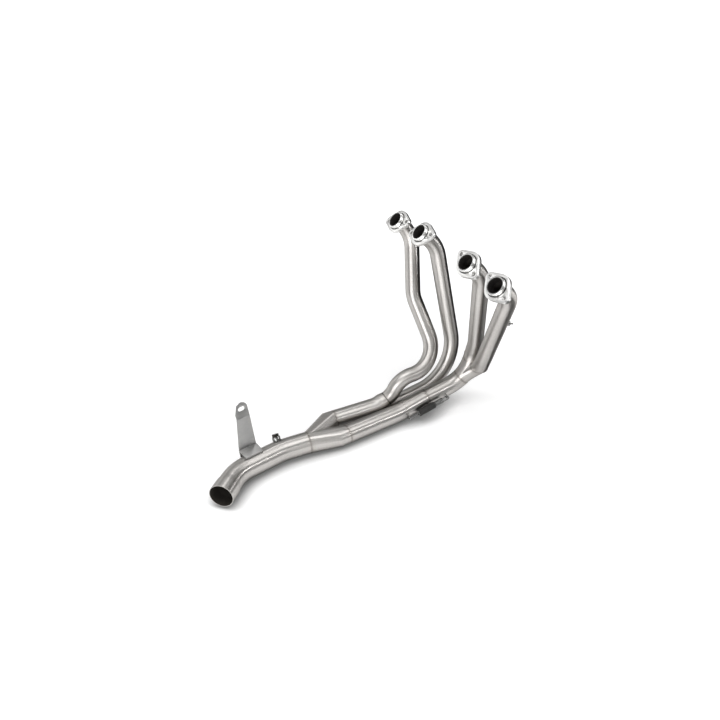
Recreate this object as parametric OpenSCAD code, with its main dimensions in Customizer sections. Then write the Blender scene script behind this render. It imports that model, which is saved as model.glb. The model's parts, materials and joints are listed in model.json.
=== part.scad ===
// Four-into-two-into-one exhaust header for an inline four-cylinder motorcycle.
// Frame: +X forward, +Y to the rider's left, +Z up, millimetres.
// Z = 0 is the plane under the lowest pipes, and X = Y = 0 is the middle of the overall box.
// Every pipe is drawn as a mandrel bender would make it: straights and constant-radius bends
// through a short list of bend points. A bend point is [x, y, z, bend radius].

/* [Which part to draw] */
// Node to draw, or all of them

/* [Tubes] */
// Outside diameter of the four head pipes
head_od = 35; // [30:0.5:42]
// Outside diameter of the two secondary pipes
second_od = 42; // [38:0.5:50]
// Outside diameter of the link pipe
link_od = 48; // [44:0.5:60]
// Outside diameter at the open outlet, where the link pipe is opened out
outlet_od = 51; // [45:0.5:64]
// Length of the opened-out part at the outlet
outlet_flare = 40; // [20:1:60]
// Length of the cone at the start of the opened-out part
flare_cone = 12; // [8:1:16]
// Wall of every tube
wall = 1.2; // [0.8:0.1:2]

/* [Cylinder head] */
// Distance between the two ports of one pair
pair_pitch = 95; // [85:1:105]
// Distance between the two inner ports, over the cam chain
middle_gap = 168; // [155:1:180]
// Forward place of the outer ports
port_x = 218; // [190:1:240]
// Height of the outer ports
port_z = 400; // [380:1:420]
// How far the inner ports sit above the outer ones
inner_rise = 6; // [0:1:10]
// How far the inner ports sit ahead of the outer ones
inner_ahead = 2; // [0:1:6]
// Slope of the port axes above the horizontal, in degrees
port_slope = 40; // [35:1:45]
// How far each port axis turns outwards, in degrees
port_splay = 3; // [0:0.5:5]
// Distance from a port mouth to the first bend point on an outer pipe
outer_lead = 58; // [54:1:64]
// The same on an inner pipe
inner_lead = 61; // [54:1:66]
// Bend radius under an outer port
outer_port_bend = 60; // [50:1:62]
// Bend radius under an inner port
inner_port_bend = 70; // [55:1:80]

/* [Port sleeves] */
// Outside diameter of the collar that sits in the port
collar_od = 38.6; // [37:0.1:42]
// Length of the collar
collar_len = 7.7; // [5:0.1:10]
// Bore of the sleeve
sleeve_bore = 30.5; // [26:0.5:32]
// Total length of the sleeve
sleeve_len = 20; // [18:0.5:24]
// Width of the groove round the collar
groove_w = 1.6; // [1:0.1:2.5]
// Depth of the groove round the collar
groove_d = 0.8; // [0.4:0.1:1.5]

/* [Port flanges] */
// Thickness of a flange
flange_t = 8; // [6:0.5:10]
// Radius of the round middle of a flange
flange_r = 27; // [25:0.5:30]
// Distance between the two stud holes of a flange
stud_pitch = 60; // [56:0.5:66]
// Diameter of a stud hole
stud_hole = 8.5; // [7:0.1:9.5]
// Radius of the rounded end of a flange
ear_r = 9.5; // [8:0.5:11]
// Diameter of the small locating hole beside one stud hole
pin_hole = 2.6; // [2:0.1:3]
// Distance of the locating hole from the middle of the flange
pin_reach = 22.5; // [21.5:0.1:23.5]
// Turn of the locating hole from the stud hole, in degrees
pin_turn = 25; // [20:1:32]
// Turn of the flanges on their ports, in degrees, mirrored left to right
flange_turn = 20; // [0:1:30]
// Gap between a flange and the collar that it pushes on
flange_gap = 0.3; // [0.2:0.1:1]
// Gap between the bore of a flange and the tube in it
flange_ease = 0.6; // [0.3:0.1:0.8]

/* [Slip joint] */
// Gap between the inner and outer tube of the slip joint
slip_ease = 0.1; // [0.05:0.01:0.2]
// How far the inner tube goes into the outer one
slip_depth = 18; // [12:1:25]

/* [Joint spring] */
// Outside diameter of the spring
spring_od = 12.4; // [11:0.2:13]
// Wire of the spring
spring_wire = 2; // [1.6:0.1:2.4]
// Number of coils that lie closed
spring_coils = 34; // [28:1:38]
// Length of the straight wire behind the coils, to the rear hook
spring_tail = 24; // [20:0.5:26]
// Outside diameter of the rubber sleeve over the spring
rubber_od = 16.2; // [15:0.1:16.4]
// Length of the rubber sleeve
rubber_len = 42; // [35:1:48]
// Gap between the rubber sleeve and the spring
rubber_ease = 0.2; // [0.1:0.05:0.4]
// Rod of the welded hooks
hook_rod = 3; // [2.5:0.1:3.6]
// Radius of a welded hook at the middle of its rod
hook_r = 5; // [4:0.5:6]

/* [Mounting bracket] */
// Sheet thickness of the bracket
sheet_t = 2.5; // [2:0.1:3]
// Width of the bracket where it meets the pipe
bracket_w = 40; // [34:1:46]
// Width of the upright at its top bend
upright_w = 29; // [24:1:34]
// Height of the top bend over the pipe's middle
upright_h = 108; // [90:1:120]
// Length of the ear above the top bend
ear_len = 32; // [28:1:40]
// Lean of the ear away from the pipe, in degrees
ear_lean = 18; // [0:1:30]
// Width of the slot in the ear
slot_w = 9; // [7:0.5:11]
// Length of the slot in the ear, end to end
slot_len = 15; // [12:1:18]
// Height of the shelf over the top of the pipe
shelf_rise = 3; // [2:0.5:6]

/* [Sensor boss] */
// Outside diameter of the boss
boss_od = 18; // [16:0.5:24]
// Thread diameter that the boss is bored for
boss_bore = 12; // [10:0.5:18]
// Height of the boss over the pipe
boss_h = 8; // [6:0.5:12]
// Hexagon of the plug across its flats
plug_hex = 13; // [11:1:19]
// Height of the plug head
plug_head = 6; // [4:0.5:8]
// Gap between the thread of the plug and that of the boss, across both sides
thread_ease = 0.1; // [0.05:0.05:0.3]

/* [Pipe stud] */
// Diameter of the stud's foot
stud_foot_d = 9; // [7:0.5:11]
// Height of the stud's foot
stud_foot_h = 5; // [3:0.5:7]
// Diameter of the stud's pin
stud_pin_d = 3; // [2.5:0.1:4]
// Length of the stud's pin
stud_pin_len = 6; // [4:0.5:8]

/* [Hidden] */
$fn = 96;
head_r = head_od / 2;
second_r = second_od / 2;
link_r = link_od / 2;
outlet_r = outlet_od / 2;
// the socket slides over the secondary pipe with its own clearance
socket_r = second_r + slip_ease + wall;
// overshoot of a cut past a face
cut = 1;
// a mandrel bend draws the wall this much thinner on each face
bend_thin = 0.05;
// each straight laps this far over the bend next to it
lap = 0.4;
// thickness of the discs that a formed collector is stretched between
mouth_t = 1;
// gap left under a welded edge, which the weld bead fills
weld_gap = 0.1;

steel = [0.72, 0.71, 0.69];
bright = [0.88, 0.88, 0.87];
dark = [0.12, 0.12, 0.12];

// Vectors
function unit(v) = v / norm(v);
function spot(p) = [p[0], p[1], p[2]];
function side_of(d) = unit(cross(abs(d[2]) < 0.9 ? [0, 0, 1] : [1, 0, 0], d));

// Cylinder head: ports 1 to 4 run from the rider's left to the right
function is_outer(n) = n == 1 || n == 4;
function hand(n) = n < 3 ? 1 : -1;
function port(n) = [port_x + (is_outer(n) ? 0 : inner_ahead),
                    hand(n) * (middle_gap / 2 + (is_outer(n) ? pair_pitch : 0)),
                    port_z + (is_outer(n) ? 0 : inner_rise)];
// unit vector out of the port mouth, into the cylinder head
function port_axis(n) = [-cos(port_slope) * cos(port_splay),
                         hand(n) * cos(port_slope) * sin(port_splay),
                         sin(port_slope)];
function port_point(n, back) = port(n) - back * port_axis(n);
function first_bend(n) = concat(port_point(n, is_outer(n) ? outer_lead : inner_lead),
                                [is_outer(n) ? outer_port_bend : inner_port_bend]);

// Bend points
function between(a, b, t) = concat(spot(a) + t * (spot(b) - spot(a)), [0]);
function at_merge_plane(p, d) = concat(spot(p) + d * (((spot(merge_mouth_4) - spot(p)) * merge_way)
                                                      / (d * merge_way)), [0]);
// the seam where head pipe 1 meets the left secondary pipe, halfway through its last bend
left_turn_front = [128, 21, 44, 45];
left_turn_rear = [91, 24, 21.5, 50];
left_seam = between(left_turn_front, left_turn_rear, 0.35);
// the two mouths of the right-hand merge collector lie in one plane, square to merge_way
merge_way = unit([0.264, 0.432, -0.862]);
merge_turn_3 = [311, -36, 165, 120];
merge_aim_3 = [321, -13.5, 106];
merge_mouth_4 = [321, -51.7, 106, 0];
merge_mouth_3 = at_merge_plane(merge_turn_3, unit(merge_aim_3 - spot(merge_turn_3)));
// its outlet, and the bend after it
merge_exit = [291, -23, 68, 0];
merge_turn = [277, -18, 51, 60];
// where the slip socket starts and ends
socket_turn = [186, -16.6, 33, 80];
socket_front = between(merge_turn, socket_turn, 0.87);
socket_rear = [135, -21, 25, 0];
// distance from the socket's end to the bend behind it, and the radius of that bend
tail_lead = 15;
tail_bend = 150;
// inlets and outlet of the final collector
final_left = [-18, 28, 21, 0];
final_right = [-15, -30.5, 21, 0];
final_exit = [-104, -18, 24, 0];

path_1 = [concat(port_point(1, sleeve_len), [0]), first_bend(1), [235, 115, 232, 76],
          [256, 14, 90, 70], [145, 16, 87, 46], left_turn_front, left_seam];
path_2 = [concat(port_point(2, sleeve_len), [0]), first_bend(2), [319, 29, 41, 105],
          [150, 21, 19.5, 120], [100, 22.5, 19.5, 0]];
path_3 = [concat(port_point(3, sleeve_len), [0]), first_bend(3), merge_turn_3, merge_mouth_3];
path_4 = [concat(port_point(4, sleeve_len), [0]), first_bend(4), [302, -80, 146, 70],
          merge_mouth_4];
left_path = [left_seam, left_turn_rear, final_left];
merge_path = [merge_exit, merge_turn, socket_front];
socket_path = [socket_front, socket_turn, socket_rear];
right_path = [socket_rear, concat(spot(socket_rear) + tail_lead * along(socket_path, 1), [tail_bend]),
              final_right];
link_path = [final_exit, [-165, -14.5, 24, 146], [-268, -32, 24, 78], [-320, -88, 32, 0]];

// A pipe from its bend points
function along(p, i) = unit(spot(p[i + 1]) - spot(p[i]));
function inner_point(p, i) = i > 0 && i < len(p) - 1;
function turn(p, i) = acos(along(p, i - 1) * along(p, i));
function trim(p, i) = inner_point(p, i) ? p[i][3] * tan(turn(p, i) / 2) : 0;
function toward(p, i) = unit(along(p, i) - along(p, i - 1) * (along(p, i) * along(p, i - 1)));
function across(p, i) = i == 0 ? side_of(along(p, 0))
    : toward(p, i) * cos(turn(p, i)) - along(p, i - 1) * sin(turn(p, i));
function roll(p, i) = atan2(toward(p, i + 1) * cross(along(p, i), across(p, i)),
                            toward(p, i + 1) * across(p, i));

module stand_at(o, z, x) {
    y = cross(z, x);
    multmatrix([[x[0], y[0], z[0], o[0]], [x[1], y[1], z[1], o[1]],
                [x[2], y[2], z[2], o[2]], [0, 0, 0, 1]])
        children();
}

module ring(ro, ri) {
    difference() {
        circle(ro);
        if (ri > 0) circle(ri);
    }
}

// one straight, then one bend, then the rest of the pipe
module run_from(p, i, ro, ri) {
    straight = norm(spot(p[i + 1]) - spot(p[i])) - trim(p, i) - trim(p, i + 1);
    start = i == 0 ? 0 : lap;
    end = inner_point(p, i + 1) ? lap : 0;
    translate([0, 0, -start]) linear_extrude(start + straight + end) ring(ro, ri);
    if (inner_point(p, i + 1)) {
        r = p[i + 1][3];
        a = turn(p, i + 1);
        translate([0, 0, straight]) rotate(roll(p, i)) {
            translate([r, 0, 0]) rotate([90, 0, 180]) rotate_extrude(angle = a)
                translate([r, 0]) ring(ro - bend_thin, ri > 0 ? ri + bend_thin : 0);
            translate([r, 0, 0]) rotate([0, a, 0]) translate([-r, 0, 0])
                run_from(p, i + 1, ro, ri);
        }
    }
}

module pipe(p, ro, ri) {
    stand_at(spot(p[0]), along(p, 0), side_of(along(p, 0))) run_from(p, 0, ro, ri);
}

// a thin disc square to a pipe, for the formed collectors
module mouth(o, d, r) {
    stand_at(spot(o), d, side_of(d)) cylinder(h = mouth_t, r = r, $fn = 32);
}

// Head pipes
// the two pipes of the right-hand pair run on past their mouths and are cut off in one plane
module right_head_pipe(p) {
    run_on = 12;
    last = len(p) - 1;
    end = concat(spot(p[last]) + run_on * along(p, last - 1), [0]);
    color(steel) difference() {
        pipe([for (i = [0 : last]) i < last ? p[i] : end], head_r, head_r - wall);
        stand_at(spot(merge_mouth_4), merge_way, side_of(merge_way))
            cylinder(h = 2 * run_on, r = 4 * head_r);
    }
}

// the bore of head pipe 2 where it opens into head pipe 1 and the left secondary pipe
module left_inlet_bore() {
    d = along(path_2, 3);
    stand_at(spot(path_2[4]) - 38 * d, d, side_of(d)) cylinder(h = 38, r = head_r - wall);
}

module head_pipe_1() {
    color(steel) difference() {
        pipe(path_1, head_r, head_r - wall);
        left_inlet_bore();
    }
}

// head pipe 2 runs in under head pipe 1 and is coped to it and to the left secondary pipe
module head_pipe_2() {
    low = spot(path_1[5]) - 30 * along(path_1, 4);
    color(steel) difference() {
        pipe(path_2, head_r, head_r - wall);
        pipe([concat(low, [0]), path_1[5], left_seam], head_r + weld_gap, 0);
        left_pipe_form(second_r + weld_gap, head_r + weld_gap);
    }
}

module left_pipe_form(r, r_start) {
    d = along(left_path, 0);
    cone = 12;
    stand_at(spot(left_seam), d, side_of(d)) cylinder(h = cone, r1 = r_start, r2 = r + bend_thin);
    pipe([concat(spot(left_seam) + (cone - lap) * d, [0]), left_path[1], left_path[2]], r, 0);
}

module left_secondary_pipe() {
    color(steel) difference() {
        left_pipe_form(second_r, head_r);
        left_pipe_form(second_r - wall, head_r - wall);
        left_inlet_bore();
    }
}

// Port sleeves and flanges
module at_port(n) {
    a = port_axis(n);
    stand_at(port(n), a, unit(cross([0, 0, 1], a))) children();
}

// the sleeve is turned on a lathe: collar with a groove, neck, and a spigot for the pipe
module port_sleeve(n) {
    neck = collar_len;
    color(bright) at_port(n) rotate_extrude() difference() {
        polygon([[sleeve_bore / 2 + 1, 0], [collar_od / 2 - 1, 0], [collar_od / 2, -1],
                 [collar_od / 2, -neck], [head_r, -neck], [head_r, -sleeve_len],
                 [head_r - wall, -sleeve_len], [sleeve_bore / 2, -sleeve_len + 3],
                 [sleeve_bore / 2, -1]]);
        translate([collar_od / 2 - groove_d, -neck / 2 - groove_w / 2])
            square([groove_d + cut, groove_w]);
    }
}

// a two-stud flange: round middle and two ears joined by their common tangents
module flange_outline() {
    reach = stud_pitch / 2;
    lean = acos((flange_r - ear_r) / reach);
    union() {
        circle(flange_r);
        for (s = [-1, 1]) translate([s * reach, 0]) circle(ear_r);
        polygon(tangent_points(reach, lean));
    }
}

function tangent_points(reach, a) = [
    [flange_r * cos(a), flange_r * sin(a)],
    [-flange_r * cos(a), flange_r * sin(a)],
    [-reach - ear_r * cos(a), ear_r * sin(a)],
    [-reach - ear_r * cos(a), -ear_r * sin(a)],
    [-flange_r * cos(a), -flange_r * sin(a)],
    [flange_r * cos(a), -flange_r * sin(a)],
    [reach + ear_r * cos(a), -ear_r * sin(a)],
    [reach + ear_r * cos(a), ear_r * sin(a)]];

module port_flange(n) {
    back = collar_len + flange_gap + flange_t;
    color(bright) at_port(n) translate([0, 0, -back]) rotate(hand(n) * flange_turn)
        difference() {
            linear_extrude(flange_t) flange_outline();
            translate([0, 0, -cut]) cylinder(h = flange_t + 2 * cut, r = head_r + flange_ease);
            for (s = [-1, 1]) translate([s * stud_pitch / 2, 0, -cut])
                cylinder(h = flange_t + 2 * cut, d = stud_hole);
            rotate(-pin_turn) translate([pin_reach, 0, -cut])
                cylinder(h = flange_t + 2 * cut, d = pin_hole);
        }
}

// Right-hand merge collector: two round mouths formed into one round outlet
module merge_form(r_in, r_out, over) {
    d = along(merge_path, 0);
    for (m = [merge_mouth_3, merge_mouth_4]) hull() {
        mouth(spot(m) - over * merge_way, merge_way, r_in);
        mouth(spot(merge_exit) + (over - mouth_t) * d, d, r_out);
    }
}

module right_merge_collector() {
    color(steel) difference() {
        merge_form(head_r, second_r, 0);
        merge_form(head_r - wall, second_r - wall, 0.1);
    }
}

module right_merge_pipe() {
    color(steel) pipe(merge_path, second_r, second_r - wall);
}

// the slip socket opens from the merge pipe's size to slide over the secondary pipe
module slip_socket() {
    d = along(socket_path, 0);
    cone = 6;
    rest = [concat(spot(socket_front) + (cone - lap) * d, [0]), socket_path[1], socket_path[2]];
    color(steel) {
        stand_at(spot(socket_front), d, side_of(d)) rotate_extrude()
            polygon([[second_r - wall, 0], [second_r, 0], [socket_r + bend_thin, cone],
                     [socket_r - wall - bend_thin, cone]]);
        pipe(rest, socket_r, socket_r - wall);
    }
}

module right_secondary_pipe() {
    start = spot(socket_rear) - slip_depth * along(socket_path, 1);
    color(steel) pipe([concat(start, [0]), right_path[1], final_right],
                      second_r, second_r - wall);
}

// Final collector and link pipe
module final_form(r_in, r_out, over) {
    d = along(link_path, 0);
    leg = 22;
    for (q = [[final_left, along(left_path, 1)], [final_right, along(right_path, 1)]]) hull() {
        mouth(spot(q[0]) - over * q[1], q[1], r_in);
        mouth(spot(q[0]) + leg * q[1], q[1], r_in);
        mouth(spot(final_exit) + (over - mouth_t) * d, d, r_out);
    }
}

module final_collector() {
    color(steel) difference() {
        final_form(second_r, link_r, 0);
        final_form(second_r - wall, link_r - wall, 0.1);
    }
}

module link_pipe() {
    color(steel) {
        d = along(link_path, 2);
        end = spot(link_path[3]);
        pipe([link_path[0], link_path[1], link_path[2],
              concat(end - (outlet_flare - lap) * d, [0])],
             link_r, link_r - wall);
        stand_at(end - outlet_flare * d, d, side_of(d)) rotate_extrude()
            polygon([[link_r - wall - 2 * bend_thin, 0], [link_r + bend_thin, 0],
                     [outlet_r, flare_cone], [outlet_r, outlet_flare],
                     [outlet_r - wall, outlet_flare], [outlet_r - wall, flare_cone]]);
    }
}

// Mounting bracket, folded from one sheet and welded on top of the link pipe
bracket_at = [-228, -25.2, 24];
link_lie = atan2(17.5, 103);

module mounting_bracket() {
    far = link_r + weld_gap;
    shelf_z = link_r + shelf_rise;
    color(bright) translate(bracket_at) rotate(link_lie) difference() {
        union() {
            // upright, tapered to the top bend
            translate([0, far + sheet_t, 0]) rotate([90, 0, 0]) linear_extrude(sheet_t)
                polygon([[-bracket_w / 2 + 2, 4], [bracket_w / 2 - 8, 4],
                         [bracket_w / 2, shelf_z], [upright_w / 2 - 1, upright_h],
                         [-upright_w / 2 - 1, upright_h], [-bracket_w / 2, shelf_z]]);
            // shelf over the pipe with its turned-down lip
            translate([-bracket_w / 2, -4, shelf_z]) cube([bracket_w, far + 4 + sheet_t, sheet_t]);
            translate([-bracket_w / 2, -4, link_r - 4])
                cube([bracket_w, sheet_t, shelf_rise + 4 + cut]);
            // ear, leaning away from the pipe
            translate([-1, far + sheet_t, upright_h - 0.8]) rotate([90 - ear_lean, 0, 0])
                linear_extrude(sheet_t) ear_outline();
        }
        rotate([0, 90, 0]) cylinder(h = 3 * bracket_w, r = link_r + weld_gap, center = true);
    }
}

module ear_outline() {
    top = 11;
    difference() {
        union() {
            translate([-upright_w / 2, 0]) square([upright_w, ear_len - 2 * top]);
            translate([upright_w / 2 - top, ear_len - top]) circle(top);
            polygon([[-upright_w / 2, 0], [upright_w / 2, 0], [upright_w / 2, ear_len - top],
                     [upright_w / 2 - top, ear_len], [upright_w / 2 - 2 * top, ear_len - 4],
                     [-upright_w / 2, ear_len - 2 * top]]);
        }
        slot_run = (slot_len - slot_w) / 2;
        translate([1, ear_len - top - 2]) {
            for (s = [-1, 1]) translate([s * slot_run, 0]) circle(d = slot_w);
            square([2 * slot_run, slot_w], center = true);
        }
    }
}

// Sensor boss and plug
boss_x = -168;
boss_lean = 35;

module at_boss() {
    translate([boss_x, -14.7, 24]) rotate([-boss_lean, 0, 0]) children();
}

module sensor_boss() {
    color(bright) at_boss() difference() {
        cylinder(h = link_r + boss_h, d = boss_od);
        translate([0, 0, -cut]) cylinder(h = link_r + boss_h + 2 * cut, d = boss_bore);
        rotate([0, 90, 0]) cylinder(h = 2 * boss_od, r = link_r + weld_gap, center = true);
    }
}

module sensor_plug() {
    color(dark) at_boss() {
        translate([0, 0, link_r + boss_h]) cylinder(h = plug_head, d = plug_hex * 2 / sqrt(3), $fn = 6);
        translate([0, 0, link_r + 1]) cylinder(h = boss_h - thread_ease, d = boss_bore - thread_ease);
    }
}

// which way the stud points from head pipe 4
stud_way = [0.87, -0.28, -0.4];

// Spring over the slip joint. Its ends hook round the rods of the two welded hooks.
hook_front = [238, -47.5, 42];
hook_rear = [133, -52, 24];
spring_dir = unit(hook_front - hook_rear);
spring_span = norm(hook_front - hook_rear);
coil_r = (spring_od - spring_wire) / 2;
coil_len = spring_coils * spring_wire;
// each coil is drawn this much thicker than its pitch, so that closed coils join
coil_swell = 0.05;
// the wire's loop sits on the rod with this gap
loop_reach = coil_r - (spring_wire + hook_rod) / 2 - 0.1;

module at_spring() {
    stand_at(hook_rear, spring_dir, unit(cross([0, 0, 1], spring_dir))) children();
}

// straight wire from the coils and a half loop, both in the plane through the pipe
module spring_end(reach) {
    translate([-coil_r, 0, 0]) cylinder(h = reach - loop_reach + spring_wire / 2,
                                        d = spring_wire, $fn = 24);
    translate([0, 0, reach - loop_reach]) rotate([90, 0, 0]) rotate_extrude(angle = 180)
        translate([coil_r, 0]) circle(d = spring_wire * (1 - coil_swell / 2), $fn = 24);
    translate([coil_r, 0, reach - loop_reach - spring_wire])
        cylinder(h = spring_wire * 1.2, d = spring_wire, $fn = 24);
}

module joint_spring() {
    color(steel) at_spring() {
        // closed coils, each one a ring of wire
        translate([0, 0, spring_tail]) rotate_extrude() for (k = [0 : spring_coils - 1])
            translate([coil_r, (k + 0.5) * spring_wire])
                circle(d = spring_wire * (1 + coil_swell), $fn = 24);
        translate([0, 0, spring_tail + coil_len - spring_wire / 2])
            spring_end(spring_span - spring_tail - coil_len + spring_wire / 2);
        translate([0, 0, spring_tail + spring_wire / 2]) mirror([0, 0, 1])
            spring_end(spring_tail + spring_wire / 2);
    }
}

module spring_rubber_sleeve() {
    bore = spring_od / 2 + spring_wire * coil_swell / 2 + rubber_ease;
    color(dark) at_spring() translate([0, 0, spring_tail + spring_wire]) difference() {
        cylinder(h = rubber_len, d = rubber_od);
        translate([0, 0, -cut]) cylinder(h = rubber_len + 2 * cut, r = bore);
    }
}

// a welded hook: an arch of rod that straddles the spring's loop, coped to the pipe.
// tip is the middle of the rod at the top of the arch, start a point on the pipe's axis.
module pipe_hook(tip, start, d, r_pipe) {
    foot = start + ((tip - start) * d) * d;
    out = unit(tip - foot);
    rise = norm(tip - foot);
    color(steel) difference() {
        stand_at(tip - hook_r * out, d, cross(out, d)) {
            rotate_extrude(angle = 180) translate([hook_r, 0])
                circle(d = hook_rod - 4 * bend_thin, $fn = 24);
            for (s = [-1, 1]) translate([s * hook_r, lap, 0]) rotate([90, 0, 0])
                cylinder(h = rise - hook_r, d = hook_rod, $fn = 24);
        }
        stand_at(foot - 2 * hook_od() * d, d, side_of(d))
            cylinder(h = 4 * hook_od(), r = r_pipe + weld_gap);
    }
}

function hook_od() = 2 * hook_r + hook_rod;

module front_spring_hook() {
    pipe_hook(hook_front, spot(merge_path[1]), along(merge_path, 1), second_r);
}

module rear_spring_hook() {
    pipe_hook(hook_rear, spot(socket_rear), along(socket_path, 1), second_r);
}

// Stud on head pipe 4, for the clip of a cable: a foot coped to the pipe and a thin pin
module head_pipe_stud() {
    d = along(path_4, 1);
    foot = spot(path_4[1]) + 90 * d;
    out = unit(cross(d, cross(stud_way, d)));
    color(steel) difference() {
        stand_at(foot, out, d) {
            cylinder(h = head_r + stud_foot_h, d = stud_foot_d);
            cylinder(h = head_r + stud_foot_h + stud_pin_len, d = stud_pin_d);
        }
        stand_at(foot - 2 * stud_foot_d * d, d, side_of(d))
            cylinder(h = 4 * stud_foot_d, r = head_r + weld_gap);
    }
}

head_pipe_1();
head_pipe_2();
right_head_pipe(path_3);  // head_pipe_3
right_head_pipe(path_4);  // head_pipe_4
port_sleeve(1);  // port_sleeve_1
port_sleeve(2);  // port_sleeve_2
port_sleeve(3);  // port_sleeve_3
port_sleeve(4);  // port_sleeve_4
port_flange(1);  // port_flange_1
port_flange(2);  // port_flange_2
port_flange(3);  // port_flange_3
port_flange(4);  // port_flange_4
left_secondary_pipe();
right_merge_collector();
right_merge_pipe();
slip_socket();
right_secondary_pipe();
final_collector();
link_pipe();
mounting_bracket();
sensor_boss();
sensor_plug();
joint_spring();
spring_rubber_sleeve();
front_spring_hook();
rear_spring_hook();
head_pipe_stud();
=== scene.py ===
"""Looks of the motorcycle exhaust header: stainless finish, weld beads, studio and camera.

The solids come from the frame. Values in millimetres are part.scad's own, because the brushed
finish and the weld beads follow the same bend points as the pipes.
"""
import json
import math

import bmesh
import bpy
import numpy as np
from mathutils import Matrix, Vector

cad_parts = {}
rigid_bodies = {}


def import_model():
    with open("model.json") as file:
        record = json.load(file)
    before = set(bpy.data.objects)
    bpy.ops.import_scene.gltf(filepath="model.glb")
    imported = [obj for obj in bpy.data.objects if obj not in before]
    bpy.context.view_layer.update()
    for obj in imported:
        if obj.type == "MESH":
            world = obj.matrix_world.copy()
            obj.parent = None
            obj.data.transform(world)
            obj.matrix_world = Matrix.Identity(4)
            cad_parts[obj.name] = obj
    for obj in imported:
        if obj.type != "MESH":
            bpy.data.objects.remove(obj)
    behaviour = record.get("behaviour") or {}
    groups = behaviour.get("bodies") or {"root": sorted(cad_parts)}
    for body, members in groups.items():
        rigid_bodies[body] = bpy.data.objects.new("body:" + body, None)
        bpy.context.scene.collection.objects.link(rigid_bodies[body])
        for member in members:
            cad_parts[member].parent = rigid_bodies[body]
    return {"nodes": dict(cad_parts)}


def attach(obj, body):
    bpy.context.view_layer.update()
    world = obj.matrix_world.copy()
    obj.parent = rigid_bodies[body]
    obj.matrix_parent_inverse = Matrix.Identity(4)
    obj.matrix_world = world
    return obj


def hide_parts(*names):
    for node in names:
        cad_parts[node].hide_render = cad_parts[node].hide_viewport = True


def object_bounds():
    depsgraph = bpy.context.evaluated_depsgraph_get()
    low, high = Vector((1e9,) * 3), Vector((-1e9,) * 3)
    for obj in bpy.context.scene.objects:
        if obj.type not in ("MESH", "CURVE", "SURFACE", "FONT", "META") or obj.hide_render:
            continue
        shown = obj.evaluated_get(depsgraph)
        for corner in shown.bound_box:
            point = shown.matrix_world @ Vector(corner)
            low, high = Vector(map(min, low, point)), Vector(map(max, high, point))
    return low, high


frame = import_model()
cad_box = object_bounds()
NODES = frame["nodes"]
MM = 0.001
PORTS = (1, 2, 3, 4)

# Sizes of the pipes and ports in millimetres, as in part.scad
HEAD_R, SECOND_R, LINK_R = 17.5, 21.0, 24.0
SLEEVE_LEN, COLLAR_LEN, FLANGE_GAP = 20.0, 7.7, 0.3
PORT_X, PORT_Z, MIDDLE_GAP, PAIR_PITCH = 218.0, 400.0, 168.0, 95.0
INNER_RISE, INNER_AHEAD = 6.0, 2.0
PORT_SLOPE, PORT_SPLAY = math.radians(40), math.radians(3)
# first bend of a head pipe: its corner's distance from the port, and its radius
OUTER_BEND, INNER_BEND = (58, 60), (61, 70)
SLIP_DEPTH = 18


def vec(*p):
    return np.array(p, float)


def unit(v):
    v = np.asarray(v, float)
    return v / np.linalg.norm(v)


def way(a, b):
    """Direction from one point, or corner with its radius, to another."""
    return unit(vec(*b[:3]) - vec(*a[:3]))


def between(a, b, t):
    a, b = vec(*a[:3]), vec(*b[:3])
    return a + t * (b - a)


def hand(n):
    return 1 if n < 3 else -1


def is_outer(n):
    return n in (1, 4)


def port_axis(n):
    level = math.cos(PORT_SLOPE)
    return vec(-level * math.cos(PORT_SPLAY), hand(n) * level * math.sin(PORT_SPLAY),
               math.sin(PORT_SLOPE))


def port_point(n, back):
    """The point on port n's axis that lies so far back from the collar's front."""
    inner = 0 if is_outer(n) else 1
    y = hand(n) * (MIDDLE_GAP / 2 + (0 if inner else PAIR_PITCH))
    return vec(PORT_X + inner * INNER_AHEAD, y, PORT_Z + inner * INNER_RISE) - back * port_axis(n)


def port_bend(n):
    back, radius = OUTER_BEND if is_outer(n) else INNER_BEND
    return (*port_point(n, back), radius)


# Corners are x, y, z and the bend's radius; the points without a radius are pipe ends.
LEFT_TURNS = [(128, 21, 44, 45), (91, 24, 21.5, 50)]
LEFT_SEAM = between(*LEFT_TURNS, 0.35)
MERGE_WAY = unit([0.264, 0.432, -0.862])
MERGE_TURN_3, MERGE_AIM_3 = (311, -36, 165, 120), vec(321, -13.5, 106)
MERGE_TURN_4, MERGE_MOUTH_4 = (302, -80, 146, 70), vec(321, -51.7, 106)


def merge_mouth_3():
    """Where head pipe 3 meets the plane of the mouth for head pipe 4."""
    turn = vec(*MERGE_TURN_3[:3])
    aim = unit(MERGE_AIM_3 - turn)
    return turn + aim * ((MERGE_MOUTH_4 - turn) @ MERGE_WAY / (aim @ MERGE_WAY))


MERGE_MOUTH_3 = merge_mouth_3()
MERGE_EXIT, MERGE_TURN, SOCKET_TURN = vec(291, -23, 68), (277, -18, 51, 60), (186, -16.6, 33, 80)
SOCKET_FRONT = between(MERGE_TURN, SOCKET_TURN, 0.87)
SOCKET_REAR = vec(135, -21, 25)
SOCKET_WAY = way(SOCKET_TURN, SOCKET_REAR)
TAIL_TURN = (*(SOCKET_REAR + 15 * SOCKET_WAY), 150)
FINAL_LEFT, FINAL_RIGHT, FINAL_EXIT = vec(-18, 28, 21), vec(-15, -30.5, 21), vec(-104, -18, 24)
LINK_TURNS = [(-165, -14.5, 24, 146), (-268, -32, 24, 78)]
LINK_END = vec(-320, -88, 32)

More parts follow.
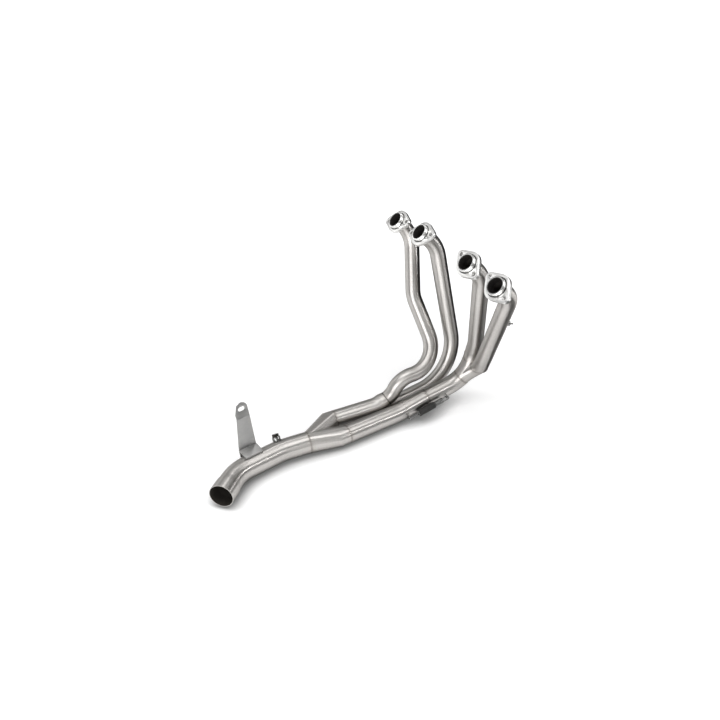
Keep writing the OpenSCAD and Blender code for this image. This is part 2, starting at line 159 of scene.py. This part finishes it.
# The centrelines of every node that is a pipe or is formed of pipes
PIPES = {
    "head_pipe_1": [[port_point(1, SLEEVE_LEN), port_bend(1), (235, 115, 232, 76),
                     (256, 14, 90, 70), (145, 16, 87, 46), LEFT_TURNS[0], LEFT_SEAM]],
    "head_pipe_2": [[port_point(2, SLEEVE_LEN), port_bend(2), (319, 29, 41, 105),
                     (150, 21, 19.5, 120), (100, 22.5, 19.5)]],
    "head_pipe_3": [[port_point(3, SLEEVE_LEN), port_bend(3), MERGE_TURN_3, MERGE_MOUTH_3]],
    "head_pipe_4": [[port_point(4, SLEEVE_LEN), port_bend(4), MERGE_TURN_4, MERGE_MOUTH_4]],
    "left_secondary_pipe": [[LEFT_SEAM, LEFT_TURNS[1], FINAL_LEFT]],
    "right_merge_pipe": [[MERGE_EXIT, MERGE_TURN, SOCKET_FRONT]],
    "slip_socket": [[SOCKET_FRONT, SOCKET_TURN, SOCKET_REAR]],
    "right_secondary_pipe": [[SOCKET_REAR - SLIP_DEPTH * SOCKET_WAY, TAIL_TURN, FINAL_RIGHT]],
    "link_pipe": [[FINAL_EXIT, *LINK_TURNS, LINK_END]],
    "final_collector": [[FINAL_LEFT, FINAL_EXIT], [FINAL_RIGHT, FINAL_EXIT]],
    "right_merge_collector": [[MERGE_MOUTH_3, MERGE_EXIT], [MERGE_MOUTH_4, MERGE_EXIT]],
}
for port in PORTS:
    PIPES[f"port_sleeve_{port}"] = [[port_point(port, SLEEVE_LEN + 1), port_point(port, -1)]]

# Weld seams: centre, direction of the pipe, radius of the pipe. The first is the dark one.
MOUTH_R = HEAD_R * 1.02
SEAMS = [(LEFT_SEAM, way(*LEFT_TURNS), HEAD_R),
         (FINAL_LEFT, way(LEFT_TURNS[1], FINAL_LEFT), SECOND_R),
         (FINAL_RIGHT, way(TAIL_TURN, FINAL_RIGHT), SECOND_R),
         (FINAL_EXIT, way(FINAL_EXIT, LINK_TURNS[0]), LINK_R),
         (MERGE_MOUTH_4, MERGE_WAY, MOUTH_R),
         (MERGE_MOUTH_3, MERGE_WAY, MOUTH_R),
         (MERGE_EXIT, way(MERGE_EXIT, MERGE_TURN), SECOND_R),
         (SOCKET_FRONT, way(MERGE_TURN, SOCKET_TURN), SECOND_R)]

BEND_STEPS = 12
INNER_FACING = -0.5  # a face whose normal points this far against the way out is inside
FLAT_ANGLE, SMOOTH_ANGLE, EDGE_ANGLE = math.radians(1.0), math.radians(32), math.radians(38)
FLANGE_EDGE, SHEET_EDGE, BOSS_EDGE = 0.7, 0.35, 0.5
BEAD_WIDTH, BEAD_HEIGHT, BEAD_PITCH, BEAD_SIDES = 0.8, 0.45, 1.7, 8
LEG_SIDES, LEG_PULL, LEG_OVERLAP = 56, 85, (16, 3)
MOUTH_INSET, EXIT_INSET_3, EXIT_INSET_4 = 0.06, 0.05, 0.5
# rings of the painted shadow round each collar, on its flange's face
PAINTED_SHADOW_RINGS = ((18.0, 0.12), (20.6, 0.12), (20.9, 0.02))  # radius, rise over the flange's face
PAINTED_SHADOW_SIDES = 64
HEAT_ALONG, HEAT_ROUND = (0.001, 0.011), (6, 14)  # metres along the pipe, mm past its radius

# Studio, in metres and watts
CAMERA_AT = Vector((-0.490, -0.977, 0.948))
CAMERA_DOWN, CAMERA_HEADING = math.radians(34.55), math.radians(61.84)
FOCAL_PX, FRAME_PX, SENSOR_MM = 634.0, 720.0, 36.0
# CONTACT_SHADOW, CONTACT_FADE and CONTACT_DARK set the painted contact shadow on the floor
FLOOR_HALF, FLOOR_WHITE, FLOOR_GLOW, CONTACT_SHADOW = 40.0, 0.90, 0.20, 0.045
GLOW_FROM, GLOW_FULL = 0.45, 1.6
CONTACT_FADE, CONTACT_DARK = (0.35, 0.85), 0.30
ROOM_DARK, ROOM_PALE, ROOM_TOP = 0.02, 0.28, 0.42
PALE_SIDE, VIEW_WAY = (-0.906, -0.423, 0.0), (0.472, 0.882, 0.0)
# where each part of the room fades, as the cosine to its direction or the sine of the height
WALL_FADE, BEHIND_FADE, TOP_FADE = (-0.85, -0.30), (0.0, 0.4), (0.20, 0.55)
WALL_DIM_FADE, WALL_DIM = (0.35, 0.95), 0.25
LAMP_TARGET = (0.05, -0.02, 0.12)
LAMPS = [  # name, direction from the object, distance, width and height, power
    ("overhead", (-0.10, -0.13, 1.0), 2.0, (2.8, 1.05), 30),
    ("glint", (0.693, -0.567, 0.42), 2.0, (0.8, 0.08), 9),
    ("left", (-0.770, -0.600, 0.22), 2.2, (1.8, 1.0), 28),
    ("back", (0.227, 0.452, 0.862), 2.2, (0.5, 0.5), 4),
    ("far_left", (-0.567, 0.709, 0.427), 2.2, (1.2, 0.8), 4.5),
]
CARD_Z = 0.004
CARDS = {
    "card_upright": [(0.46, -0.2, 0.02), (0.46, 0.6, 0.02), (0.46, 0.6, 0.9), (0.46, -0.2, 0.9)],
    "card_front": [(0.20, -1.10, CARD_Z), (0.90, -1.10, CARD_Z), (0.90, -0.31, CARD_Z),
                   (0.20, -0.31, CARD_Z)],
    "card_low": [(0.34, -0.30, CARD_Z), (0.90, -0.30, CARD_Z), (0.90, 0.45, CARD_Z),
                 (0.42, 0.45, CARD_Z)],
}


def centreline(points):
    """Points along straights and bends in metres, with the direction at each."""
    out, dirs = [vec(*points[0][:3])], [way(points[0], points[1])]
    for a, b, c in zip(points, points[1:], points[2:]):
        d0, d1 = way(a, b), way(b, c)
        turn = math.acos(np.clip(d0 @ d1, -1, 1))
        r = b[3]
        start = vec(*b[:3]) - d0 * r * math.tan(turn / 2)
        inward = unit(d1 - d0 * (d1 @ d0))
        out.append(start)
        dirs.append(d0)
        for k in range(1, BEND_STEPS + 1):
            t = turn * k / BEND_STEPS
            out.append(start + d0 * r * math.sin(t) + inward * r * (1 - math.cos(t)))
            dirs.append(d0 * math.cos(t) + inward * math.sin(t))
    out.append(vec(*points[-1][:3]))
    dirs.append(dirs[-1])
    return np.array(out) * MM, np.array(dirs)


def nearest(points, paths):
    """For each point: place along its pipe, the pipe's direction, and the way out from its axis."""
    best = np.full(len(points), 1e9)
    along, axis, out = np.zeros(len(points)), np.zeros((len(points), 3)), np.zeros((len(points), 3))
    for path in paths:
        line, dirs = centreline(path)
        run = 0.0
        for i, leg in enumerate(line[1:] - line[:-1]):
            length = np.linalg.norm(leg)
            if length < 1e-6:
                continue
            t = np.clip((points - line[i]) @ leg / length ** 2, 0, 1)[:, None]
            off = points - line[i] - t * leg
            gap = np.linalg.norm(off, axis=1)
            near = gap < best
            best[near], out[near] = gap[near], off[near]
            along[near] = (run + t[:, 0] * length)[near]
            axis[near] = ((1 - t) * dirs[i] + t * dirs[i + 1])[near]
            run += length
    return along, axis, out


def read_vectors(items, key):
    flat = np.zeros(len(items) * 3)
    items.foreach_get(key, flat)
    return flat.reshape(-1, 3)


def set_finish(mesh, along, axis, inside=None):
    """Attributes for the finish: place along the pipe, its direction, and which faces are inner."""
    mesh.attributes.new("pipe_s", "FLOAT", "POINT").data.foreach_set("value", along)
    faces = mesh.attributes.new("pipe_in", "FLOAT", "FACE")
    if inside is not None:
        faces.data.foreach_set("value", inside)
    direction = mesh.attributes.new("pipe_dir", "FLOAT_VECTOR", "POINT")
    direction.data.foreach_set("vector", np.array(axis).ravel())


def mark_pipe(obj, paths):
    mesh = obj.data
    along, axis, _ = nearest(read_vectors(mesh.vertices, "co"), paths)
    _, _, out = nearest(read_vectors(mesh.polygons, "center"), paths)
    facing = np.sum(out * read_vectors(mesh.polygons, "normal"), axis=1)
    inside = (facing < INNER_FACING * np.linalg.norm(out, axis=1)).astype(float)
    set_finish(mesh, along, axis, inside)


class Graph:
    """Short names for building a material's nodes."""

    def __init__(self, tree):
        self.tree = tree

    def new(self, kind):
        return self.tree.nodes.new(kind)

    def add(self, kind, **inputs):
        return self.fill(self.new(kind), inputs)

    def fill(self, node, inputs):
        for key, value in inputs.items():
            key = int(key[1:]) if key[0] == "_" else key.replace("_", " ")
            socket = node.inputs[key]
            if isinstance(value, bpy.types.NodeSocket):
                self.tree.links.new(value, socket)
            else:
                socket.default_value = value
        return node

    def math(self, op, a, b=0.0):
        node = self.new("ShaderNodeMath")
        node.operation = op
        return self.fill(node, {"_0": a, "_1": b}).outputs[0]

    def vmath(self, op, a, b=(0, 0, 0), out=0):
        node = self.new("ShaderNodeVectorMath")
        node.operation = op
        self.fill(node, {"_0": a, "_1": b})
        return node.outputs[out]

    def dot(self, a, b):
        return self.vmath("DOT_PRODUCT", a, b, out=1)

    def remap(self, value, lo, hi, to_lo=0.0, to_hi=1.0):
        node = self.add("ShaderNodeMapRange", Value=value)
        for i, v in enumerate((lo, hi, to_lo, to_hi), 1):
            node.inputs[i].default_value = v
        return node.outputs[0]

    def mix(self, fac, a, b):
        node = self.new("ShaderNodeMix")
        node.data_type = "RGBA"
        return self.fill(node, {"_0": fac, "_6": a, "_7": b}).outputs[2]

    def noise(self, vector, scale, detail=2.0, rough=0.5):
        node = self.add("ShaderNodeTexNoise", Vector=vector, Scale=scale, Detail=detail,
                        Roughness=rough)
        return node.outputs[0]

    def drawn(self, along, fine, place, y, z=None):
        """Coordinates that run fast along the pipe and slowly round it."""
        inputs = {"X": self.math("MULTIPLY", along, fine), "Y": self.dot(place, y)}
        if z:
            inputs["Z"] = self.dot(place, z)
        return self.fill(self.new("ShaderNodeCombineXYZ"), inputs).outputs[0]

    def bump(self, strength, distance, height):
        return self.add("ShaderNodeBump", Strength=strength, Distance=distance,
                        Height=height).outputs[0]

    def attribute(self, name, out="Fac"):
        node = self.new("ShaderNodeAttribute")
        node.attribute_name = name
        return node.outputs[out]

    def place(self):
        return self.new("ShaderNodeTexCoord").outputs["Object"]


def new_material(name):
    mat = bpy.data.materials.new(name)
    mat.use_nodes = True
    tree = mat.node_tree
    return mat, Graph(tree), tree.nodes["Principled BSDF"]


def rgb(r, g, b):
    return (r, g, b, 1.0)


def shade(tone, *factors):
    """A tone with a slight tint, given as a factor for each channel."""
    return rgb(*(tone * k for k in factors))


def seam_heat(g, place):
    """1 at a weld seam, falling to 0 some millimetres to either side of it."""
    total = None
    for centre, direction, radius in SEAMS:
        offset = g.vmath("SUBTRACT", place, tuple(centre * MM))
        plane = g.math("ABSOLUTE", g.dot(offset, tuple(direction)))
        far = g.vmath("LENGTH", offset, out=1)
        reach = [(radius + past) * MM for past in HEAT_ROUND]
        near = g.math("MULTIPLY", g.remap(plane, *HEAT_ALONG, 1, 0), g.remap(far, *reach, 1, 0))
        total = near if total is None else g.math("MAXIMUM", total, near)
    return total


def brushed_stainless():
    """Pipes: brushed along their length, with faint heat tint at the seams and painted shade on the
    inner faces.
    """
    mat, g, bsdf = new_material("brushed_stainless")
    place, along = g.place(), g.attribute("pipe_s")
    lines = g.noise(g.drawn(along, 2600.0, place, (9, 14, 11), (-13, 8, 12)), 1.0, 3.0, 0.6)
    bands = g.noise(g.drawn(along, 260.0, place, (5, 9, 6), (-8, 5, 7)), 1.0, 2.0)
    cloud = g.noise(place, 14.0, 3.0, 0.55)
    heat = seam_heat(g, place)
    steel = g.mix(g.remap(cloud, 0.35, 0.65), rgb(0.560, 0.541, 0.520), rgb(0.505, 0.490, 0.470))
    steel = g.mix(g.remap(bands, 0.30, 0.70, 0.0, 0.20), steel, rgb(0.66, 0.64, 0.62))
    steel = g.mix(g.remap(lines, 0.30, 0.70, 0.0, 0.30), steel, rgb(0.35, 0.335, 0.32))
    straw = g.mix(g.math("MULTIPLY", heat, 0.14), steel, rgb(0.34, 0.28, 0.21))
    tint = g.mix(g.remap(heat, 0.80, 1.0, 0.0, 0.45), straw, rgb(0.14, 0.13, 0.13))
    # painted shade: inner faces turn near-black, non-metallic and rougher, standing for the shade
    # inside the pipe
    inner = g.remap(g.attribute("pipe_in"), 0.72, 0.98)
    painted_bore_shade = g.mix(g.remap(cloud, 0.3, 0.7), rgb(0.020, 0.017, 0.014), rgb(0.045, 0.038, 0.032))
    rough = g.math("ADD", g.remap(lines, 0.25, 0.75, 0.31, 0.40), g.math("MULTIPLY", inner, 0.4))
    g.fill(bsdf, {"Base_Color": g.mix(inner, tint, painted_bore_shade), "Roughness": rough,
                  "Metallic": g.remap(inner, 0.0, 1.0, 1.0, 0.0),
                  "Anisotropic": 0.92, "Specular_Tint": rgb(0.45, 0.45, 0.45),
                  "Tangent": g.attribute("pipe_dir", "Vector"),
                  "Normal": g.bump(0.10, 0.0002, lines)})
    return mat


def turned_steel(name, tone, rough, paint_bore_shade=True):
    """Lathe-turned or drawn steel: fine rings along the axis, soft clouds, bore darkened with
    painted shade.
    """
    mat, g, bsdf = new_material(name)
    place, along = g.place(), g.attribute("pipe_s")
    rings = g.noise(g.drawn(along, 1800.0, place, (6, 3, 5)), 1.0, 2.0)
    cloud = g.noise(place, 60.0, 3.0)
    colour = g.mix(g.remap(cloud, 0.3, 0.7), shade(tone, 1.0, 0.995, 0.985),
                   shade(tone, 0.90, 0.90, 0.885))
    colour = g.mix(g.remap(rings, 0.35, 0.75, 0.0, 0.25), colour, shade(tone, 0.72, 0.71, 0.70))
    roughness = g.remap(rings, 0.2, 0.8, rough - 0.05, rough + 0.07)
    metallic = 1.0
    # painted shade: the bore's faces turn near-black, non-metallic and rougher
    if paint_bore_shade:
        inner = g.remap(g.attribute("pipe_in"), 0.85, 1.0)
        colour = g.mix(inner, colour, rgb(0.012, 0.010, 0.009))
        roughness = g.math("ADD", roughness, g.math("MULTIPLY", inner, 0.4))
        metallic = g.remap(inner, 0.0, 1.0, 1.0, 0.0)
    g.fill(bsdf, {"Base_Color": colour, "Metallic": metallic, "Roughness": roughness,
                  "Normal": g.bump(0.12, 0.0002, rings)})
    return mat


def sheet_steel(name, tone, rough, grain_scale=(30, 30, 900)):
    """Rolled or blasted steel: grain drawn out in one direction, with faint scuffs."""
    mat, g, bsdf = new_material(name)
    place = g.place()
    grain = g.noise(g.vmath("MULTIPLY", place, grain_scale), 1.0, 3.0, 0.6)
    cloud = g.noise(place, 38.0, 4.0, 0.6)
    scuff = g.remap(g.noise(g.vmath("MULTIPLY", place, (400, 90, 60)), 1.0, 2.0), 0.66, 0.74)
    colour = g.mix(g.remap(cloud, 0.3, 0.7), shade(tone, 1.0, 0.99, 0.97),
                   shade(tone, 0.88, 0.88, 0.87))
    colour = g.mix(g.remap(grain, 0.3, 0.7, 0.0, 0.18), colour, shade(tone, 0.62, 0.61, 0.60))
    colour = g.mix(g.math("MULTIPLY", scuff, 0.25), colour, rgb(*(min(1, tone * 1.25),) * 3))
    g.fill(bsdf, {"Base_Color": colour, "Metallic": 1.0, "Normal": g.bump(0.10, 0.0002, grain),
                  "Roughness": g.remap(grain, 0.2, 0.8, rough - 0.05, rough + 0.08)})
    return mat


def weld_metal(name, tone):
    """Weld bead: rippled steel, in patches of two tones."""
    mat, g, bsdf = new_material(name)
    cloud = g.noise(g.place(), 160.0, 3.0)
    colour = g.mix(g.remap(cloud, 0.35, 0.65), shade(tone, 1.0, 0.93, 0.86),
                   shade(tone, 0.5, 0.46, 0.43))
    g.fill(bsdf, {"Base_Color": colour, "Metallic": 1.0, "Normal": g.bump(0.3, 0.0003, cloud),
                  "Roughness": g.remap(cloud, 0.3, 0.7, 0.28, 0.45)})
    return mat


def black_rubber():
    """Ribbed rubber with a little dust."""
    mat, g, bsdf = new_material("black_rubber")
    place = g.place()
    grain = g.noise(place, 900.0, 3.0)
    dust = g.noise(place, 90.0, 3.0)
    ribs = g.new("ShaderNodeTexWave")
    ribs.bands_direction = "X"
    g.fill(ribs, {"Vector": place, "Scale": 160.0, "Distortion": 0.4})
    colour = g.mix(g.remap(dust, 0.4, 0.7), rgb(0.006, 0.0055, 0.005), rgb(0.016, 0.015, 0.014))
    height = g.math("ADD", grain, g.math("MULTIPLY", ribs.outputs[1], 1.4))
    g.fill(bsdf, {"Base_Color": colour, "Roughness": g.remap(grain, 0.3, 0.7, 0.5, 0.65),
                  "Normal": g.bump(0.5, 0.0004, height)})
    return mat


def black_oxide():
    """Blackened steel of the plug."""
    mat, g, bsdf = new_material("dark_plug")
    cloud = g.noise(g.place(), 220.0, 3.0)
    colour = g.mix(g.remap(cloud, 0.3, 0.7), rgb(0.030, 0.028, 0.026), rgb(0.075, 0.070, 0.064))
    g.fill(bsdf, {"Base_Color": colour, "Metallic": 1.0,
                  "Roughness": g.remap(cloud, 0.3, 0.7, 0.32, 0.48)})
    return mat


def smooth(obj):
    obj.data.shade_smooth()
    view = bpy.context.view_layer
    for other in view.objects:
        other.select_set(False)
    obj.select_set(True)
    view.objects.active = obj
    bpy.ops.object.shade_auto_smooth(angle=SMOOTH_ANGLE)
    obj.select_set(False)


def link_object(name, mesh):
    obj = bpy.data.objects.new(name, mesh)
    bpy.context.scene.collection.objects.link(obj)
    return obj


def mesh_object(name, verts, faces):
    mesh = bpy.data.meshes.new(name)
    mesh.from_pydata(verts, [], faces)
    return link_object(name, mesh)


def clean_mesh(mesh, job):
    bm = bmesh.new()
    bm.from_mesh(mesh)
    job(bm)
    bm.to_mesh(mesh)
    bm.free()


def flatten(bm):
    """Join the triangles of flat faces, so that only true edges are left to round."""
    bmesh.ops.remove_doubles(bm, verts=bm.verts, dist=1e-6)
    bmesh.ops.dissolve_limit(bm, angle_limit=FLAT_ANGLE, verts=bm.verts, edges=bm.edges)


def dressed(node, width, material):
    """A copy of a CAD node with its edges broken, which stands for the node."""
    mesh = NODES[node].data.copy()
    clean_mesh(mesh, flatten)
    obj = link_object(node + "_dressed", mesh)
    bevel = obj.modifiers.new("edges", "BEVEL")
    bevel.width, bevel.segments, bevel.limit_method = width * MM, 2, "ANGLE"
    bevel.angle_limit = EDGE_ANGLE
    bevel.harden_normals = False
    bevel.use_clamp_overlap = True
    mesh.materials.clear()
    mesh.materials.append(material)
    smooth(obj)
    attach(obj, "root")
    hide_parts(node)


def across(d):
    """Two directions across d, the first one level."""
    x = unit(np.cross([0, 0, 1], d))
    return x, np.cross(d, x)


def ring_faces(rings, sides, closed):
    """Quads between rings of points, each ring joined to the next."""
    faces = []
    for i in range(rings if closed else rings - 1):
        for k in range(sides):
            a, b = i * sides + k, i * sides + (k + 1) % sides
            j = (i + 1) % rings
            faces.append((a, b, j * sides + (k + 1) % sides, j * sides + k))
    return faces


def bead_ring(name, centre, direction, radius, material):
    """A rippled weld bead round a pipe, kept inside the CAD's box."""
    d = unit(direction)
    x, y = across(d)
    steps = max(12, int(radius * 2 * math.pi / (BEAD_PITCH / 4)))
    verts = []
    for i in range(steps):
        a = math.radians(360 * i / steps)
        out = x * math.cos(a) + y * math.sin(a)
        ripple = 0.75 + 0.25 * abs(math.sin(math.pi * i / 4))
        for k in range(BEAD_SIDES):
            t = 2 * math.pi * k / BEAD_SIDES
            rise = radius + BEAD_HEIGHT * ripple * math.sin(t)
            shift = BEAD_WIDTH * (0.85 + 0.15 * ripple) * math.cos(t) + 0.22 * ripple
            verts.append((centre + out * rise + d * shift) * MM)
    verts = np.clip(verts, np.array(cad_box[0]), np.array(cad_box[1]))
    obj = mesh_object(name, [tuple(v) for v in verts], ring_faces(steps, BEAD_SIDES, True))
    clean_mesh(obj.data, lambda bm: bmesh.ops.recalc_face_normals(bm, faces=bm.faces))
    obj.data.shade_smooth()
    obj.data.materials.append(material)
    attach(obj, "root")


def hermite(start, d0, end, d1, pull, steps=28):
    t = np.linspace(0, 1, steps)[:, None]
    return ((2 * t**3 - 3 * t**2 + 1) * start + (t**3 - 2 * t**2 + t) * pull * d0
            + (3 * t**2 - 2 * t**3) * end + (t**3 - t**2) * pull * d1)


def swept(name, legs):
    """Smooth tubes along lines of points, with the attributes that the steel's finish reads.

    Each leg is its points and the radius at its start and its end.
    """
    verts, faces, along, axis = [], [], [], []
    for points, r0, r1 in legs:
        d = np.gradient(points, axis=0)
        d /= np.linalg.norm(d, axis=1)[:, None]
        run = np.concatenate([[0], np.cumsum(np.linalg.norm(np.diff(points, axis=0), axis=1))])
        side = unit(np.cross([0.1, 0.2, 1.0], d[0]))
        first = len(verts)
        for i, point in enumerate(points):
            side = unit(side - d[i] * (side @ d[i]))
            up = np.cross(d[i], side)
            t = run[i] / run[-1]
            r = r0 + (r1 - r0) * t * t * (3 - 2 * t)
            for k in range(LEG_SIDES):
                a = 2 * math.pi * k / LEG_SIDES
                verts.append(tuple((point + r * (side * math.cos(a) + up * math.sin(a))) * MM))
                along.append(run[i] * MM)
                axis.append(d[i])
        faces += [tuple(first + v for v in face)
                  for face in ring_faces(len(points), LEG_SIDES, False)]
    obj = mesh_object(name, verts, faces)
    obj.data.shade_smooth()
    set_finish(obj.data, along, axis)
    return obj


def merge_collector(material):
    """The formed right-hand collector: both head pipes flow into the merge pipe."""
    way_out = way(MERGE_EXIT, MERGE_TURN)
    before, after = LEG_OVERLAP
    legs = []
    for turn, mouth, inset in ((MERGE_TURN_3, MERGE_MOUTH_3, EXIT_INSET_3),
                               (MERGE_TURN_4, MERGE_MOUTH_4, EXIT_INSET_4)):
        d = way(turn, mouth)
        points = hermite(mouth - before * d, d, MERGE_EXIT + after * way_out, way_out, LEG_PULL)
        legs.append((points, HEAD_R - MOUTH_INSET, SECOND_R - inset))
    obj = swept("merge_collector_formed", legs)
    obj.data.materials.append(material)
    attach(obj, "root")
    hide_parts("right_merge_collector")


def painted_collar_shadow(n, material):
    """Painted shadow: a dark ring round a collar, in the face of its flange, standing for the shade
    in the recess there.
    """
    axis = port_axis(n)
    face = port_point(n, COLLAR_LEN + FLANGE_GAP)
    x, y = across(axis)
    angles = np.linspace(0, 2 * math.pi, PAINTED_SHADOW_SIDES, endpoint=False)
    verts = [tuple((face + rise * axis + r * (x * math.cos(a) + y * math.sin(a))) * MM)
             for r, rise in PAINTED_SHADOW_RINGS for a in angles]
    obj = mesh_object(f"painted_collar_shadow_{n}", verts,
                      ring_faces(len(PAINTED_SHADOW_RINGS), PAINTED_SHADOW_SIDES, False))
    obj.data.materials.append(material)
    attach(obj, "root")


def dress_nodes():
    stainless = brushed_stainless()
    collar = turned_steel("turned_stainless", 0.84, 0.22)
    wire = turned_steel("spring_wire", 0.20, 0.24, paint_bore_shade=False)
    small = turned_steel("small_fittings", 0.24, 0.24, paint_bore_shade=False)
    blasted = (260, 260, 260)
    flange = sheet_steel("flange_steel", 0.85, 0.34, blasted)
    sheet = sheet_steel("sheet_steel", 0.36, 0.36)
    # painted shadow: near-black steel for the rings that stand for the shade round each collar
    dark = sheet_steel("recess_shadow", 0.05, 0.5, blasted)
    for name, paths in PIPES.items():
        mark_pipe(NODES[name], paths)
    chosen = {"spring_rubber_sleeve": black_rubber(), "sensor_plug": black_oxide(),
              "joint_spring": wire, "front_spring_hook": small, "rear_spring_hook": small,
              "head_pipe_stud": small}
    for name, node in NODES.items():
        node.data.materials.clear()
        node.data.materials.append(chosen.get(name, collar if "sleeve" in name else stainless))
        smooth(node)
    for n in PORTS:
        dressed(f"port_flange_{n}", FLANGE_EDGE, flange)
    dressed("mounting_bracket", SHEET_EDGE, sheet)
    dressed("sensor_boss", BOSS_EDGE, small)
    merge_collector(stainless)
    for n in PORTS:
        painted_collar_shadow(n, dark)


def add_welds():
    bead, dark = weld_metal("weld_bead", 0.46), weld_metal("weld_bead_dark", 0.10)
    for i, seam in enumerate(SEAMS):
        bead_ring(f"seam_bead_{i + 1}", *seam, bead if i else dark)


def add_camera():
    data = bpy.data.cameras.new("camera")
    data.sensor_width = SENSOR_MM
    data.lens = SENSOR_MM * FOCAL_PX / FRAME_PX
    data.clip_start, data.clip_end = 0.05, 60
    cam = link_object("camera", data)
    cam.location = CAMERA_AT
    cam.rotation_euler = (math.pi / 2 - CAMERA_DOWN, 0, CAMERA_HEADING - math.pi / 2)
    bpy.context.scene.camera = cam


def background_rays(g):
    """1 for camera, glossy and transmission rays."""
    path = g.new("ShaderNodeLightPath").outputs
    seen = g.math("MAXIMUM", path["Is Camera Ray"], path["Is Glossy Ray"])
    return g.math("MAXIMUM", seen, path["Is Transmission Ray"])


def floor_material():
    """White: darkened near the object by a painted contact shadow, lit by the lamps, and glowing
    more the farther it is.
    """
    mat, g, bsdf = new_material("floor_white")
    # painted contact shadow: ambient occlusion darkens the floor's colour and its glow near the
    # object
    contact = g.add("ShaderNodeAmbientOcclusion", Distance=CONTACT_SHADOW).outputs["AO"]
    painted_contact_shade = g.remap(contact, *CONTACT_FADE, CONTACT_DARK, 1.0)
    g.fill(bsdf, {"Base_Color": g.mix(painted_contact_shade, rgb(0, 0, 0), shade(FLOOR_WHITE, 1, 1, 1)),
                  "Roughness": 0.9, "Specular_IOR_Level": 0.0})
    far = g.remap(g.vmath("LENGTH", g.place(), out=1), GLOW_FROM, GLOW_FULL, FLOOR_GLOW, 1.0)
    strength = g.math("MULTIPLY", background_rays(g), g.math("MULTIPLY", far, painted_contact_shade))
    glow = g.add("ShaderNodeEmission", Color=rgb(1, 1, 1), Strength=strength)
    both = g.add("ShaderNodeAddShader", _0=bsdf.outputs[0], _1=glow.outputs[0])
    g.fill(g.tree.nodes["Material Output"], {"Surface": both.outputs[0]})
    return mat


def add_floor(z):
    s = FLOOR_HALF
    floor = mesh_object("floor", [(-s, -s, z), (s, -s, z), (s, s, z), (-s, s, z)], [(0, 1, 2, 3)])
    floor.data.materials.append(floor_material())


def add_world():
    """A studio room: pale to the left, dark to the right, with a pale ceiling behind."""
    world = bpy.data.worlds.new("studio")
    bpy.context.scene.world = world
    world.use_nodes = True
    g = Graph(world.node_tree)
    look = g.new("ShaderNodeTexCoord").outputs["Generated"]
    height = g.add("ShaderNodeSeparateXYZ", Vector=look).outputs[2]
    wall = g.remap(g.dot(look, tuple(unit(PALE_SIDE))), *WALL_FADE, ROOM_DARK, ROOM_PALE)
    behind = g.remap(g.dot(look, VIEW_WAY), *BEHIND_FADE)
    top = g.math("MULTIPLY", behind, g.remap(height, *TOP_FADE, 0.0, ROOM_TOP))
    dimmed = g.math("MULTIPLY", wall, g.remap(height, *WALL_DIM_FADE, 1.0, WALL_DIM))
    level = g.math("ADD", dimmed, top)
    g.fill(world.node_tree.nodes["Background"], {"Color": rgb(1, 1, 1), "Strength": level})


def add_cards():
    """Black cards to the right of the object, seen only by their reflections in the metal."""
    mat, g, bsdf = new_material("card_black")
    g.fill(bsdf, {"Base_Color": rgb(0.01, 0.01, 0.01), "Roughness": 0.9})
    for name, corners in CARDS.items():
        card = mesh_object(name, corners, [(0, 1, 2, 3)])
        card.data.materials.append(mat)
        card.visible_camera = card.visible_diffuse = card.visible_shadow = False


def add_lamps():
    for name, toward, distance, size, power in LAMPS:
        data = bpy.data.lights.new(name, "AREA")
        data.shape, data.size, data.size_y, data.energy = "RECTANGLE", *size, power
        lamp = link_object(name, data)
        d = Vector(toward).normalized()
        lamp.location = Vector(LAMP_TARGET) + d * distance
        lamp.rotation_mode = "QUATERNION"
        lamp.rotation_quaternion = d.to_track_quat("Z", "Y")


add_camera()
dress_nodes()
add_welds()
add_floor(cad_box[0].z)
add_world()
add_lamps()
add_cards()
bpy.context.scene.view_settings.view_transform = "Standard"
